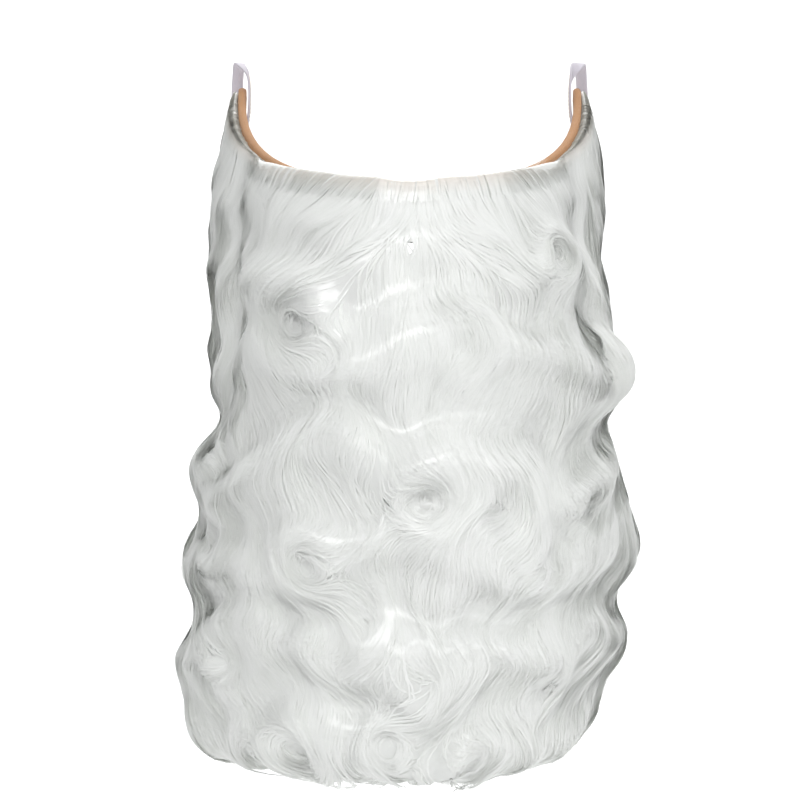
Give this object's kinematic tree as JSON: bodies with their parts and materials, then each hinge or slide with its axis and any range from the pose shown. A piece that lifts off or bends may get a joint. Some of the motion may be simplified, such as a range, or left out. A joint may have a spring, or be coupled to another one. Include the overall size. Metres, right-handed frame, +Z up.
{
  "type": "false beard",
  "caption": "Long white waved false beard with a joined moustache, sewn in layers on a shaped cloth backing with a bound edge and mouth slit, worn on elastic ear loops.",
  "frame": {"origin": "The mount 'head': midway between the wearer's ears, at the height where the ear loops bear on them.", "axes": "+Z is up. The wearer looks along -Y, so the hair's front faces -Y and the head goes in from +Y. +X is the wearer's left."},
  "size_m": [0.1978, 0.1706, 0.3087],
  "materials": {
    "hair": "glossy synthetic fibre in waved locks",
    "backing_cloth": "matte skin-toned woven cloth",
    "binding_tape": "matte tan twill tape",
    "elastic": "ribbed woven elastic, pale grey"
  },
  "bodies": {
    "root": {"backing": "backing_cloth", "edge_binding": "binding_tape", "ear_loop_left": "elastic", "ear_loop_right": "elastic", "moustache": "hair", "cheek_hair_left": "hair", "cheek_hair_right": "hair", "beard_upper_row": "hair", "beard_lower_row": "hair"}
  },
  "joints": []
}
